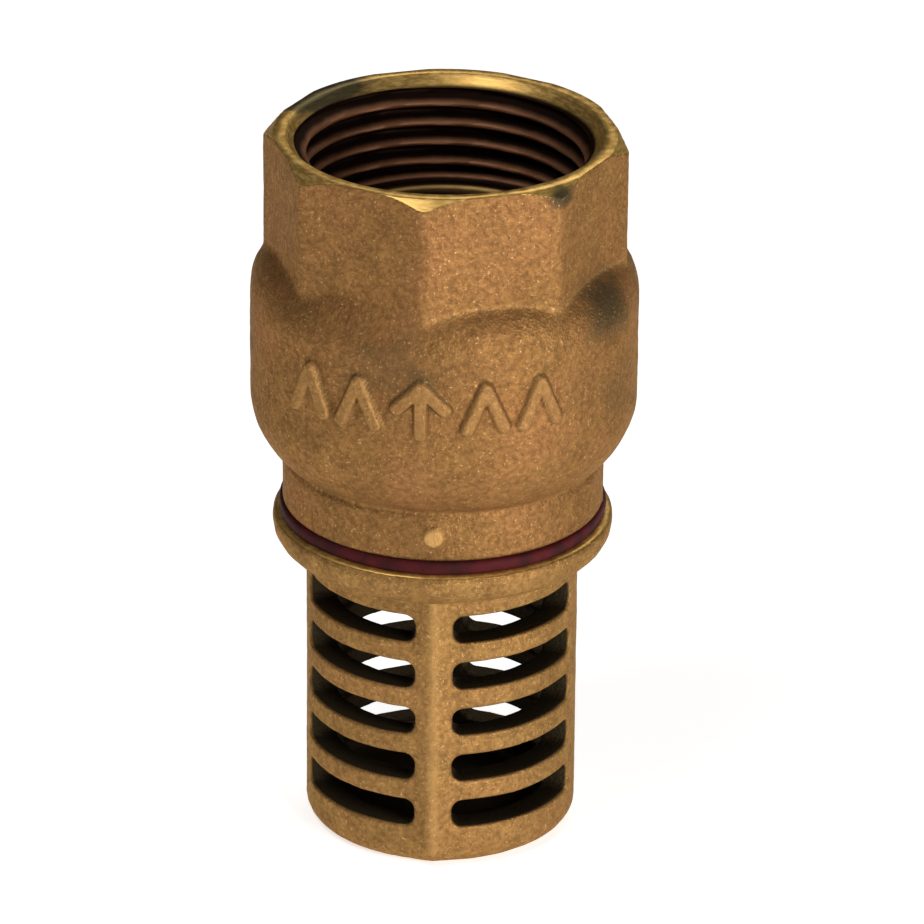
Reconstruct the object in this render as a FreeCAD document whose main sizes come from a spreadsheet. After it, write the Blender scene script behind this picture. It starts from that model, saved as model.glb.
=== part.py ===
"""Foot valve: a spring-loaded check valve with a strainer, for the lower end of a suction pipe.

The origin is the middle of the strainer's underside, +Z points up the pipe and -Y is the front.
All lengths are millimetres and all angles are degrees.
"""
import FreeCAD, Part

import math
import os

import Sketcher
from FreeCAD import Placement, Rotation, Vector

DIMENSIONS = {
    # Cast body: an octagonal grip for the wrench above a round chamber and a plain collar.
    "total_height": 81.8,
    "octagon_low": 66.0,
    "octagon_inradius": 18.55,
    "octagon_corner_round": 2.0,
    "rim_face_radius": 18.7,
    "rim_chamfer_width": 1.65,
    "rim_chamfer_depth": 1.5,
    "chamber_outside": 21.3,
    "chamber_low": 52.1,
    "chamber_high": 63.4,
    "shoulder_round": 6.6,
    "belly_round": 9.8,
    "collar_radius": 17.75,
    "collar_depth": 9.0,
    # Inside of the body, from the pipe thread down.
    "mouth_radius": 17.35,
    "mouth_depth": 2.2,
    "pipe_thread_radius": 15.15,
    "pipe_thread_end": 70.2,
    "throat_radius": 12.6,
    "throat_lead_width": 1.0,
    "throat_lead_depth": 1.6,
    "spider_stop": 66.6,
    "pocket_radius": 14.0,
    "pocket_low": 63.6,
    "chamber_inside": 18.0,
    "chamber_inside_high": 60.0,
    "chamber_inside_low": 53.0,
    "lower_thread_radius": 14.6,
    "lower_thread_end": 48.4,
    # Strainer: a slotted basket, a flange and a threaded spigot whose top is the valve seat.
    "cage_radius": 15.05,
    "cage_inside": 11.9,
    "cage_floor": 3.0,
    "cage_edge_round": 1.95,
    "flange_low": 33.05,
    "flange_high": 37.2,
    "flange_radius": 18.85,
    "flange_low_round": 3.1,
    "flange_high_round": 0.4,
    "spigot_radius": 14.55,
    "spigot_top": 45.9,
    "seat_outside": 12.0,
    "seat_bore": 10.5,
    "seat_height": 0.6,
    "seat_bore_low": 42.0,
    "cage_inside_high": 40.4,
    "slot_height": 3.2,
    "slot_pitch": 5.655,
    "first_slot_low": 4.78,
    "slot_rows": 5,
    "slot_end_round": 1.55,
    "slot_overcut": 1.5,
    "slot_middle_angle": 41.0,
    "slot_sweep": 66.0,
    "keel_half_width": 2.05,
    "keel_height": 0.7,
    "keel_sink": 0.15,
    "keel_root": 1.5,
    "strainer_turn": 3.4,
    # Flat gasket between the flange and the body.
    "gasket_thickness": 1.45,
    "gasket_inside": 14.7,
    "gasket_outside": 18.15,
    # Three-armed guide, pressed against its stop by the spring, and its bush.
    "spider_ring_outside": 13.9,
    "spider_ring_inside": 12.2,
    "spider_height": 2.4,
    "hub_flange_radius": 6.4,
    "hub_flange_low": 63.6,
    "hub_radius": 4.2,
    "hub_low": 60.8,
    "arm_half_width": 1.3,
    "arm_count": 3,
    "arm_overlap": 0.6,
    "bush_outside": 3.4,
    "bush_bore": 2.55,
    "bush_lip_radius": 4.6,
    "bush_lip_height": 0.6,
    # Poppet: a stem with a shoulder, and the stack of pieces clamped under it.
    "stem_radius": 2.5,
    "stem_low": 39.2,
    "stem_high": 67.6,
    "stem_chamfer": 0.4,
    "stop_radius": 3.9,
    "stop_high": 54.5,
    "disc_radius": 13.5,
    "disc_low": 48.0,
    "disc_high": 49.8,
    "disc_edge": 0.8,
    "seal_radius": 13.0,
    "seal_cover": 0.8,
    "seal_thickness": 1.5,
    "seal_washer_radius": 9.6,
    "seal_washer_thickness": 1.3,
    "lock_washer_radius": 4.5,
    "lock_washer_thickness": 1.0,
    "lock_washer_gap": 0.45,
    "nut_inradius": 4.0,
    "nut_height": 4.0,
    "nut_chamfer_width": 0.7,
    "nut_chamfer_depth": 0.4,
    # Closing spring and the loose washer that it turns on.
    "spring_washer_inside": 4.0,
    "spring_washer_outside": 6.6,
    "spring_washer_thickness": 0.6,
    "spring_mean_radius": 5.35,
    "wire_radius": 0.35,
    "spring_turns": 7,
    "spring_end_gap": 0.03,
}

ON_AXIS = ""
AT_BASE = ""
OCTAGON_SIDES = 8
NUT_SIDES = 6
FULL_TURN = 360
QUARTER_TURN = 90
FRONT_AND_BACK = 2
TOLERANCE = 1e-4


def number(formula):
    """The value of a sum of named dimensions, such as "flange_high + gasket_thickness"."""
    total = 0.0
    sign = 1.0
    for word in formula.split():
        if word in ("+", "-"):
            sign = 1.0 if word == "+" else -1.0
        else:
            total += sign * DIMENSIONS[word]
    return total


def binding(formula):
    """The same sum, as an expression that reads the spreadsheet."""
    return " ".join(word if word in ("+", "-") else "Dimensions." + word for word in formula.split())


def make_sheet(doc):
    """Put every driving dimension in the spreadsheet, one row each."""
    sheet = doc.addObject("Spreadsheet::Sheet", "Dimensions")
    for row, (name, value) in enumerate(DIMENSIONS.items(), start=1):
        sheet.set(f"A{row}", name)
        sheet.set(f"B{row}", str(value))
        sheet.setAlias(f"B{row}", name)


def new_body(doc, label):
    body = doc.addObject("PartDesign::Body", label.title().replace("_", ""))
    body.Label = label
    body.Placement = Placement()
    return body


def sketch_on(body, role, name, height=None):
    """A sketch on one of the body's own origin planes, raised by a bound height where one is given."""
    sketch = body.newObject("Sketcher::SketchObject", name)
    plane = next(feature for feature in body.Origin.OriginFeatures if feature.Role == role)
    sketch.AttachmentSupport = [(plane, "")]
    sketch.MapMode = "FlatFace"
    if height:
        sketch.setExpression("AttachmentOffset.Base.z", binding(height))
    return sketch


def bind_constraint(sketch, constraint, formula):
    """Add a dimension to a sketch and tie it to the sheet."""
    index = sketch.addConstraint(constraint)
    sketch.setExpression(f"Constraints[{index}]", binding(formula))


def arc_between(start, finish, radius, turn):
    """An arc that curves to the left or right, and the sketch's numbers for its start and finish."""
    chord = finish - start
    rise = math.sqrt(radius**2 - (chord.Length / 2) ** 2)
    left = Vector(-chord.y, chord.x, 0).normalize()
    side = 1 if turn == "left" else -1
    centre = (start + finish) / 2 + left * rise * side
    first, last = (start, finish) if turn == "left" else (finish, start)
    angles = [math.atan2(point.y - centre.y, point.x - centre.x) for point in (first, last)]
    arc = Part.ArcOfCircle(Part.Circle(centre, Vector(0, 0, 1), radius), *angles)
    return arc, ((1, 2) if turn == "left" else (2, 1))


def draw_outline(sketch, path):
    """Draw a closed outline with every corner tied to the sheet.

    A step is (across, up) for a straight edge that ends there, or (across, up, radius, turn)
    for an arc. The first step closes the outline from the last one.
    """
    corners = [Vector(number(step[0]), number(step[1]), 0) for step in path]
    edges = []
    for index, step in enumerate(path):
        if len(step) == 2:
            edge = sketch.addGeometry(Part.LineSegment(corners[index - 1], corners[index]))
            edges.append((edge, 1, 2))
        else:
            arc, ends = arc_between(corners[index - 1], corners[index], number(step[2]), step[3])
            edge = sketch.addGeometry(arc)
            edges.append((edge, *ends))
            bind_constraint(sketch, Sketcher.Constraint("Radius", edge, number(step[2])), step[2])
    for index, step in enumerate(path):
        edge, _, finish = edges[index]
        following, start, _ = edges[(index + 1) % len(path)]
        sketch.addConstraint(Sketcher.Constraint("Coincident", edge, finish, following, start))
        for kind, axis, formula in (("DistanceX", -2, step[0]), ("DistanceY", -1, step[1])):
            if formula:
                distance = Sketcher.Constraint(kind, -1, 1, edge, finish, number(formula))
                bind_constraint(sketch, distance, formula)
            else:
                sketch.addConstraint(Sketcher.Constraint("PointOnObject", edge, finish, axis))


def draw_polygon(sketch, sides, inradius):
    """Draw a regular polygon about the origin with one corner on the vertical axis.

    Its corners lie on one construction circle, and its first side touches another of the bound radius.
    """
    corner_radius = number(inradius) / math.cos(math.pi / sides)
    angles = [2 * math.pi * side / sides - math.pi / 2 for side in range(sides)]
    corners = [Vector(corner_radius * math.cos(a), corner_radius * math.sin(a), 0) for a in angles]
    for side in range(sides):
        sketch.addGeometry(Part.LineSegment(corners[side], corners[(side + 1) % sides]))
    circles = [
        sketch.addGeometry(Part.Circle(Vector(), Vector(0, 0, 1), radius), True)
        for radius in (corner_radius, number(inradius))
    ]
    for circle in circles:
        sketch.addConstraint(Sketcher.Constraint("Coincident", circle, 3, -1, 1))
    bind_constraint(sketch, Sketcher.Constraint("Radius", circles[1], number(inradius)), inradius)
    sketch.addConstraint(Sketcher.Constraint("Tangent", 0, circles[1]))
    sketch.addConstraint(Sketcher.Constraint("PointOnObject", 0, 1, -2))
    for side in range(sides):
        sketch.addConstraint(Sketcher.Constraint("Coincident", side, 2, (side + 1) % sides, 1))
        sketch.addConstraint(Sketcher.Constraint("PointOnObject", side, 1, circles[0]))
        if side:
            sketch.addConstraint(Sketcher.Constraint("Equal", 0, side))


def draw_circle(sketch, radius):
    circle = sketch.addGeometry(Part.Circle(Vector(), Vector(0, 0, 1), number(radius)))
    sketch.addConstraint(Sketcher.Constraint("Coincident", circle, 3, -1, 1))
    bind_constraint(sketch, Sketcher.Constraint("Radius", circle, number(radius)), radius)


def turn(body, name, path, cut=False):
    """Revolve an outline about the valve's axis, adding it to the body or cutting it away."""
    sketch = sketch_on(body, "XZ_Plane", name + "Outline")
    draw_outline(sketch, path)
    feature = body.newObject("PartDesign::Groove" if cut else "PartDesign::Revolution", name)
    feature.Profile = sketch
    feature.ReferenceAxis = (sketch, ["V_Axis"])
    feature.Angle = FULL_TURN
    return feature


def pad(body, name, sketch, length):
    feature = body.newObject("PartDesign::Pad", name)
    feature.Profile = sketch
    feature.setExpression("Length", binding(length))
    return feature


def round_edges(body, name, base, wanted, radius):
    """Fillet the base feature's edges that the test picks."""
    edges = [f"Edge{i}" for i, edge in enumerate(base.Shape.Edges, start=1) if wanted(edge)]
    fillet = body.newObject("PartDesign::Fillet", name)
    fillet.Base = (base, edges)
    fillet.setExpression("Radius", binding(radius))
    return fillet


def is_upright(edge):
    span = edge.BoundBox
    return span.ZLength > TOLERANCE and max(span.XLength, span.YLength) < TOLERANCE


def is_slot_corner(edge):
    """A level, radial edge through the cage's wall."""
    near, far = sorted((edge.Vertexes[0].Point, edge.Vertexes[-1].Point), key=lambda p: math.hypot(p.x, p.y))
    level = abs(near.z - far.z) < TOLERANCE
    radial = abs(near.x * far.y - near.y * far.x) < TOLERANCE
    starts_inside = abs(math.hypot(near.x, near.y) - number("cage_inside")) < TOLERANCE
    ends_outside = abs(math.hypot(far.x, far.y) - number("cage_radius")) < TOLERANCE
    return level and radial and starts_inside and ends_outside


def ring(doc, label, inside, outside, low, thickness):
    """A flat ring or washer, turned from bar or cut from sheet."""
    body = new_body(doc, label)
    high = low + " + " + thickness
    turn(body, "Ring", [(inside, low), (outside, low), (outside, high), (inside, high)])
    return body


def make_valve_body(doc):
    body = new_body(doc, "valve_body")
    sketch = sketch_on(body, "XY_Plane", "OctagonOutline", "octagon_low")
    draw_polygon(sketch, OCTAGON_SIDES, "octagon_inradius")
    octagon = pad(body, "Octagon", sketch, "total_height - octagon_low")
    doc.recompute()
    round_edges(body, "OctagonCorners", octagon, is_upright, "octagon_corner_round")
    sketch = sketch_on(body, "XY_Plane", "CollarOutline", "flange_high + gasket_thickness")
    draw_circle(sketch, "collar_radius")
    doc.recompute()
    turn(body, "Chamber", [
        (ON_AXIS, "chamber_low - belly_round"),
        ("chamber_outside - belly_round", "chamber_low - belly_round"),
        ("chamber_outside", "chamber_low", "belly_round", "left"),
        ("chamber_outside", "chamber_high"),
        ("chamber_outside - shoulder_round", "chamber_high + shoulder_round", "shoulder_round", "left"),
        (ON_AXIS, "chamber_high + shoulder_round"),
    ])
    pad(body, "Collar", sketch, "collar_depth")
    turn(body, "RimChamfer", [
        ("rim_face_radius", "total_height"),
        ("rim_face_radius + rim_chamfer_width", "total_height - rim_chamfer_depth"),
        ("rim_face_radius + rim_chamfer_width", "total_height"),
    ], cut=True)
    turn(body, "Bore", [
        (ON_AXIS, "total_height"),
        ("mouth_radius", "total_height"),
        ("pipe_thread_radius", "total_height - mouth_depth"),
        ("pipe_thread_radius", "pipe_thread_end"),
        ("throat_radius + throat_lead_width", "pipe_thread_end"),
        ("throat_radius", "pipe_thread_end - throat_lead_depth"),
        ("throat_radius", "spider_stop"),
        ("pocket_radius", "spider_stop"),
        ("pocket_radius", "pocket_low"),
        ("chamber_inside", "chamber_inside_high"),
        ("chamber_inside", "chamber_inside_low"),
        ("lower_thread_radius", "lower_thread_end"),
        ("lower_thread_radius", "flange_high + gasket_thickness"),
        (ON_AXIS, "flange_high + gasket_thickness"),
    ], cut=True)
    return body


def make_strainer(doc):
    body = new_body(doc, "strainer")
    turn(body, "Turned", [
        (ON_AXIS, AT_BASE),
        ("cage_radius - cage_edge_round", AT_BASE),
        ("cage_radius", "cage_edge_round", "cage_edge_round", "left"),
        ("cage_radius", "flange_low"),
        ("flange_radius - flange_low_round", "flange_low"),
        ("flange_radius", "flange_low + flange_low_round", "flange_low_round", "left"),
        ("flange_radius", "flange_high - flange_high_round"),
        ("flange_radius - flange_high_round", "flange_high", "flange_high_round", "left"),
        ("spigot_radius", "flange_high"),
        ("spigot_radius", "spigot_top"),
        ("seat_outside", "spigot_top"),
        ("seat_outside", "spigot_top + seat_height"),
        ("seat_bore", "spigot_top + seat_height"),
        ("seat_bore", "seat_bore_low"),
        ("cage_inside", "cage_inside_high"),
        ("cage_inside", "cage_floor"),
        (ON_AXIS, "cage_floor"),
    ])
    sketch = sketch_on(body, "XY_Plane", "KeelOutline", "cage_edge_round")
    draw_outline(sketch, [
        ("- keel_half_width", "- cage_radius + keel_root"),
        ("- keel_half_width", "- cage_radius + keel_sink"),
        (ON_AXIS, "- cage_radius - keel_height"),
        ("keel_half_width", "- cage_radius + keel_sink"),
        ("keel_half_width", "- cage_radius + keel_root"),
    ])
    keel = pad(body, "Keel", sketch, "flange_low - cage_edge_round")
    keels = body.newObject("PartDesign::PolarPattern", "Keels")
    keels.Originals = [keel]
    keels.Axis = (sketch, ["N_Axis"])
    keels.Angle = FULL_TURN
    keels.Occurrences = FRONT_AND_BACK
    body.Tip = keels
    doc.recompute()
    cut_slots(doc, body)
    body.Placement = Placement(Vector(), Rotation(Vector(0, 0, 1), DIMENSIONS["strainer_turn"]))
    body.setExpression("Placement.Rotation.Angle", binding("strainer_turn"))
    return body


def cut_slots(doc, body):
    """Cut two slots, repeat the pair up the cage and across it, and round the slots' ends."""
    slots = []
    for side, sign in (("Right", "+"), ("Left", "-")):
        sketch = sketch_on(body, "XZ_Plane", side + "SlotOutline")
        sketch.AttachmentOffset = Placement(Vector(), Rotation(Vector(0, 1, 0), QUARTER_TURN))
        turned = f"{QUARTER_TURN} {sign} Dimensions.slot_middle_angle"
        sketch.setExpression("AttachmentOffset.Rotation.Angle", turned)
        draw_outline(sketch, [
            ("cage_inside - slot_overcut", "first_slot_low"),
            ("cage_radius + slot_overcut", "first_slot_low"),
            ("cage_radius + slot_overcut", "first_slot_low + slot_height"),
            ("cage_inside - slot_overcut", "first_slot_low + slot_height"),
        ])
        slot = body.newObject("PartDesign::Groove", side + "Slot")
        slot.Profile = sketch
        slot.ReferenceAxis = (sketch, ["V_Axis"])
        slot.Midplane = True
        slot.setExpression("Angle", binding("slot_sweep"))
        slots.append(slot)
    doc.recompute()
    rows = body.newObject("PartDesign::LinearPattern", "SlotRows")
    rows.Direction = (sketch, ["V_Axis"])
    rows.setExpression("Length", "Dimensions.slot_pitch * (Dimensions.slot_rows - 1)")
    rows.setExpression("Occurrences", binding("slot_rows"))
    across = body.newObject("PartDesign::PolarPattern", "SlotsAcross")
    across.Axis = (sketch, ["V_Axis"])
    across.Angle = FULL_TURN
    across.Occurrences = FRONT_AND_BACK
    pattern = body.newObject("PartDesign::MultiTransform", "Slots")
    pattern.Originals = slots
    pattern.Transformations = [rows, across]
    body.Tip = pattern
    doc.recompute()
    round_edges(body, "SlotEnds", pattern, is_slot_corner, "slot_end_round")


def make_guide_spider(doc):
    body = new_body(doc, "guide_spider")
    turn(body, "Hub", [
        ("bush_outside", "hub_low"),
        ("hub_radius", "hub_low"),
        ("hub_radius", "hub_flange_low"),
        ("hub_flange_radius", "hub_flange_low"),
        ("hub_flange_radius", "spider_stop"),
        ("bush_outside", "spider_stop"),
    ])
    sketch = sketch_on(body, "XY_Plane", "ArmOutline", "spider_stop - spider_height")
    draw_outline(sketch, [
        ("hub_flange_radius - arm_overlap", "- arm_half_width"),
        ("spider_ring_inside + arm_overlap", "- arm_half_width"),
        ("spider_ring_inside + arm_overlap", "arm_half_width"),
        ("hub_flange_radius - arm_overlap", "arm_half_width"),
    ])
    arm = pad(body, "Arm", sketch, "spider_height")
    arms = body.newObject("PartDesign::PolarPattern", "Arms")
    arms.Originals = [arm]
    arms.Axis = (sketch, ["N_Axis"])
    arms.Angle = FULL_TURN
    arms.setExpression("Occurrences", binding("arm_count"))
    body.Tip = arms
    turn(body, "Ring", [
        ("spider_ring_inside", "spider_stop - spider_height"),
        ("spider_ring_outside", "spider_stop - spider_height"),
        ("spider_ring_outside", "spider_stop"),
        ("spider_ring_inside", "spider_stop"),
    ])
    return body


def make_guide_bush(doc):
    body = new_body(doc, "guide_bush")
    turn(body, "Bush", [
        ("bush_bore", "hub_low"),
        ("bush_outside", "hub_low"),
        ("bush_outside", "spider_stop"),
        ("bush_lip_radius", "spider_stop"),
        ("bush_lip_radius", "spider_stop + bush_lip_height"),
        ("bush_bore", "spider_stop + bush_lip_height"),
    ])
    return body


def make_poppet_stem(doc):
    body = new_body(doc, "poppet_stem")
    turn(body, "Stem", [
        (ON_AXIS, "stem_low"),
        ("stem_radius - stem_chamfer", "stem_low"),
        ("stem_radius", "stem_low + stem_chamfer"),
        ("stem_radius", "disc_high"),
        ("stop_radius", "disc_high"),
        ("stop_radius", "stop_high"),
        ("stem_radius", "stop_high"),
        ("stem_radius", "stem_high - stem_chamfer"),
        ("stem_radius - stem_chamfer", "stem_high"),
        (ON_AXIS, "stem_high"),
    ])
    return body


def make_poppet_disc(doc):
    body = new_body(doc, "poppet_disc")
    turn(body, "Disc", [
        ("stem_radius", "disc_low"),
        ("seal_radius", "disc_low"),
        ("seal_radius", "disc_low - seal_cover"),
        ("disc_radius", "disc_low - seal_cover"),
        ("disc_radius", "disc_high - disc_edge"),
        ("disc_radius - disc_edge", "disc_high"),
        ("stem_radius", "disc_high"),
    ])
    return body


def make_lock_washer(doc):
    """A split spring washer: a ring with a narrow gap."""
    low = "disc_low - seal_thickness - seal_washer_thickness - lock_washer_thickness"
    body = ring(doc, "lock_washer", "stem_radius", "lock_washer_radius", low, "lock_washer_thickness")
    sketch = sketch_on(body, "XY_Plane", "GapOutline", low)
    draw_outline(sketch, [
        (ON_AXIS, "- lock_washer_gap"),
        ("lock_washer_radius + lock_washer_gap", "- lock_washer_gap"),
        ("lock_washer_radius + lock_washer_gap", "lock_washer_gap"),
        (ON_AXIS, "lock_washer_gap"),
    ])
    gap = body.newObject("PartDesign::Pocket", "Gap")
    gap.Profile = sketch
    gap.Reversed = True
    gap.setExpression("Length", binding("lock_washer_thickness"))
    return body


def make_retaining_nut(doc):
    body = new_body(doc, "retaining_nut")
    top = "disc_low - seal_thickness - seal_washer_thickness - lock_washer_thickness"
    low = top + " - nut_height"
    sketch = sketch_on(body, "XY_Plane", "NutOutline", low)
    draw_polygon(sketch, NUT_SIDES, "nut_inradius")
    draw_circle(sketch, "stem_radius")
    pad(body, "Nut", sketch, "nut_height")
    for name, face, inward in (("TopChamfer", top, " - "), ("LowChamfer", low, " + ")):
        turn(body, name, [
            ("nut_inradius", face),
            ("nut_inradius + nut_chamfer_width", face + inward + "nut_chamfer_depth"),
            ("nut_inradius + nut_chamfer_width", face),
        ], cut=True)
    return body


def make_closing_spring(doc):
    """Round wire wound in an open helix between the loose washer and the guide."""
    helix = doc.addObject("Part::Helix", "SpringPath")
    wire = doc.addObject("Part::Circle", "SpringWire")
    room = "Dimensions.hub_flange_low - Dimensions.disc_high - Dimensions.spring_washer_thickness"
    height = f"{room} - 2 * Dimensions.wire_radius - 2 * Dimensions.spring_end_gap"
    helix.setExpression("Height", height)
    helix.setExpression("Pitch", f"({height}) / Dimensions.spring_turns")
    helix.setExpression("Radius", "Dimensions.spring_mean_radius")
    helix.SegmentLength = 1
    wire.setExpression("Radius", "Dimensions.wire_radius")
    wire.Placement = Placement(Vector(), Rotation(Vector(1, 0, 0), QUARTER_TURN))
    wire.setExpression("Placement.Base.x", "Dimensions.spring_mean_radius")
    spring = doc.addObject("Part::Sweep", "ClosingSpring")
    spring.Label = "closing_spring"
    spring.Sections = [wire]
    spring.Spine = (helix, [])
    spring.Solid = True
    spring.Frenet = True
    low = "disc_high + spring_washer_thickness + wire_radius + spring_end_gap"
    spring.setExpression("Placement.Base.z", binding(low))
    return spring


def make_parts(doc):
    gasket_low = "flange_high"
    seal_low = "disc_low - seal_thickness"
    seal_washer_low = seal_low + " - seal_washer_thickness"
    return [
        make_valve_body(doc),
        make_strainer(doc),
        ring(doc, "body_gasket", "gasket_inside", "gasket_outside", gasket_low, "gasket_thickness"),
        make_guide_spider(doc),
        make_guide_bush(doc),
        make_closing_spring(doc),
        ring(doc, "spring_washer", "spring_washer_inside", "spring_washer_outside", "disc_high",
             "spring_washer_thickness"),
        make_poppet_stem(doc),
        make_poppet_disc(doc),
        ring(doc, "disc_seal", "stem_radius", "seal_radius", seal_low, "seal_thickness"),
        ring(doc, "seal_washer", "stem_radius", "seal_washer_radius", seal_washer_low,
             "seal_washer_thickness"),
        make_lock_washer(doc),
        make_retaining_nut(doc),
    ]


def check_and_write(doc, parts):
    """Stop at the first object that failed, then write one STEP file for each sub-part."""
    for item in doc.Objects:
        if "Invalid" in item.State or "Error" in item.State:
            raise RuntimeError(f"{item.Name} failed: {item.State}")
    for part in parts:
        if part.Shape.isNull() or not part.Shape.isValid():
            raise RuntimeError(f"{part.Label} has no valid shape")
    os.makedirs("parts", exist_ok=True)
    for part in parts:
        part.Shape.exportStep(f"parts/{part.Label}.step")
        print(f"{part.Label}: {len(part.Shape.Solids)} solid, {part.Shape.Volume:.1f} mm3")


document = FreeCAD.newDocument("FootValve")
make_sheet(document)
document.recompute()
sub_parts = make_parts(document)
document.recompute()
check_and_write(document, sub_parts)
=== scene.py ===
"""Looks of the foot valve: a bronze check valve with a slotted strainer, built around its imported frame.

Lengths are metres. +Z points up the pipe and -Y is the front. A bearing is measured from the front,
towards +X, so the front is 0 and the right-hand side is a quarter turn.
"""
import math

import bmesh
import bpy
import numpy as np
from mathutils import Matrix, Vector


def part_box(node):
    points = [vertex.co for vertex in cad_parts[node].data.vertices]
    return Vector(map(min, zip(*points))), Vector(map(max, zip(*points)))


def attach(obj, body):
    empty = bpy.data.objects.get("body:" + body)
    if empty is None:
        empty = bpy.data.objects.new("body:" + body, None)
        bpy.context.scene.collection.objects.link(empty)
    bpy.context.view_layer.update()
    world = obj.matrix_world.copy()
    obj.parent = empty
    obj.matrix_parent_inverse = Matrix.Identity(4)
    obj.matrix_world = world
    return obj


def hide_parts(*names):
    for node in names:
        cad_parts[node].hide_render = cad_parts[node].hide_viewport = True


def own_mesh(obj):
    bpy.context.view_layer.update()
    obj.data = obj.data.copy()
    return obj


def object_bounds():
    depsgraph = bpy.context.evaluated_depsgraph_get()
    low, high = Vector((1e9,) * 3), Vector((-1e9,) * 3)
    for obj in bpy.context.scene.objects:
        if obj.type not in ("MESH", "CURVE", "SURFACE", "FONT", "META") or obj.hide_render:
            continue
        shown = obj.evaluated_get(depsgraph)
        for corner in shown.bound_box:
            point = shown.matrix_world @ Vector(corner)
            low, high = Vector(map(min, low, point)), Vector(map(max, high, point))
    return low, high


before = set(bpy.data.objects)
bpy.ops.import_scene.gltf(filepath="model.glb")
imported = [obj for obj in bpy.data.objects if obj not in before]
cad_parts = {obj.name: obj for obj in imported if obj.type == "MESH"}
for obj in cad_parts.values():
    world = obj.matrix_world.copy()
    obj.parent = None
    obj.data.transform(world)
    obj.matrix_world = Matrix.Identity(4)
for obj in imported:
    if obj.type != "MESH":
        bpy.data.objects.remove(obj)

cad_low, cad_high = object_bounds()

# ---------------------------------------------------------------------------------------------
# Valve body. One sand casting in bronze: an octagon for the wrench above a round chamber and a
# plain collar. The mouth, the pipe thread and the bores are machined, so they are bright.
# It replaces the plain CAD body, whose thread is only a cylinder.
# ---------------------------------------------------------------------------------------------
body_low, body_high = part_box("valve_body")
collar_foot, rim_top = body_low.z, body_high.z
CHAMBER_RADIUS = body_high.x
CHAMBER_LOW = collar_foot + 0.01345
CHAMBER_HIGH = collar_foot + 0.02475
SHOULDER_ROUND = 0.0066
BELLY_ROUND = 0.0098
COLLAR_RADIUS = 0.01775
OCTAGON_INRADIUS = 0.01855
OCTAGON_CORNER = 0.0020
CAST_FILLET = 0.0005
MARK_HEIGHT = 0.00075
MARK_LOW, MARK_HIGH, ARROW_BARB = 0.0034, 0.0089, 0.0026
ARROW_STROKE, CHEVRON_STROKE = 0.00070, 0.00068
CHEVRON_MIDDLES = (0.0070, 0.0132)
PIP_HEIGHT, PIP_FLAT, PIP_FOOT = 0.00040, 0.0009, 0.0013
PIP_BEARING, PIP_RISE = 0.06, 0.0029
CREASE_RISE, CREASE_DEPTH, CREASE_WIDTH = 0.0058, 0.00025, 0.00050
SEAM_HEIGHT, SEAM_WIDTH = 0.00010, 0.00035
RIM_FACE_RADIUS = 0.0187
RIM_CHAMFER_SLOPE = 1.10
MOUTH_RADIUS = 0.01735
MOUTH_DEPTH = 0.0022
THREAD_CREST = 0.01515
THREAD_ROOT = 0.01662
THREAD_PITCH = 0.002309
THREAD_END = rim_top - 0.0116
THROAT_RADIUS = 0.0126
THROAT_LEAD_WIDTH, THROAT_LEAD_DEPTH = 0.0010, 0.0016
GUIDE_STOP = rim_top - 0.0152
POCKET_RADIUS = 0.0140
CHAMBER_INSIDE = 0.0180
COLLAR_BORE = 0.0146


def smooth_max(a, b, blend):
    """The larger of two radii, with a fillet of about that size where they meet."""
    closeness = np.maximum(blend - np.abs(a - b), 0) / blend
    return np.maximum(a, b) + closeness**2 * blend / 4


def smooth_step(low, high, x):
    t = np.clip((x - low) / (high - low), 0, 1)
    return t * t * (3 - 2 * t)


def octagon_radius(bearing):
    """Distance from the axis to the cast octagon, which has a rounded corner at the front."""
    half = math.pi / 8
    off_flat = np.abs((bearing % (2 * half)) - half)
    corner = (OCTAGON_INRADIUS - OCTAGON_CORNER) / math.cos(half)
    off_corner = half - off_flat
    rise = np.maximum(OCTAGON_CORNER**2 - (corner * np.sin(off_corner)) ** 2, 0)
    on_corner = corner * np.cos(off_corner) + np.sqrt(rise)
    flat_ends = math.atan((OCTAGON_INRADIUS - OCTAGON_CORNER) * math.tan(half) / OCTAGON_INRADIUS)
    return np.where(off_flat > flat_ends, on_corner, OCTAGON_INRADIUS / np.cos(off_flat))


def chamber_radius(z):
    """The chamber's outline: upright between a tight shoulder above and a fuller belly below."""
    above = np.clip(z - CHAMBER_HIGH, 0, SHOULDER_ROUND)
    below = np.clip(CHAMBER_LOW - z, 0, BELLY_ROUND)
    shoulder = SHOULDER_ROUND - np.sqrt(SHOULDER_ROUND**2 - above**2)
    belly = BELLY_ROUND - np.sqrt(BELLY_ROUND**2 - below**2)
    return CHAMBER_RADIUS - shoulder - belly


def bearing_from_front(bearing):
    """The same bearing, between minus and plus half a turn."""
    return ((bearing + math.pi) % (2 * math.pi)) - math.pi


def stroke_distance(s, z, start, end, half_width):
    """Signed distance to a round-ended stroke, where s runs round the surface and z up it."""
    along_s, along_z = end[0] - start[0], end[1] - start[1]
    share = ((s - start[0]) * along_s + (z - start[1]) * along_z) / (along_s**2 + along_z**2)
    share = np.clip(share, 0, 1)
    return np.hypot(s - start[0] - share * along_s, z - start[1] - share * along_z) - half_width


def raised_marks(bearing, z):
    """Height of the raised flow arrow, with two chevrons each side of it."""
    low, high = CHAMBER_LOW + MARK_LOW, CHAMBER_LOW + MARK_HIGH
    s = np.abs(CHAMBER_RADIUS * bearing_from_front(bearing))
    marks = stroke_distance(s, z, (0, low), (0, high), ARROW_STROKE)
    barb = stroke_distance(s, z, (0, high), (ARROW_BARB, high - ARROW_BARB), ARROW_STROKE)
    marks = np.minimum(marks, barb)
    for middle in CHEVRON_MIDDLES:
        wing = stroke_distance(np.abs(s - middle), z, (0, high - 0.0002), (0.0020, low + 0.0006),
                               CHEVRON_STROKE)
        marks = np.minimum(marks, wing)
    return MARK_HEIGHT * (1 - smooth_step(-0.00020, 0.00026, marks))


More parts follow.
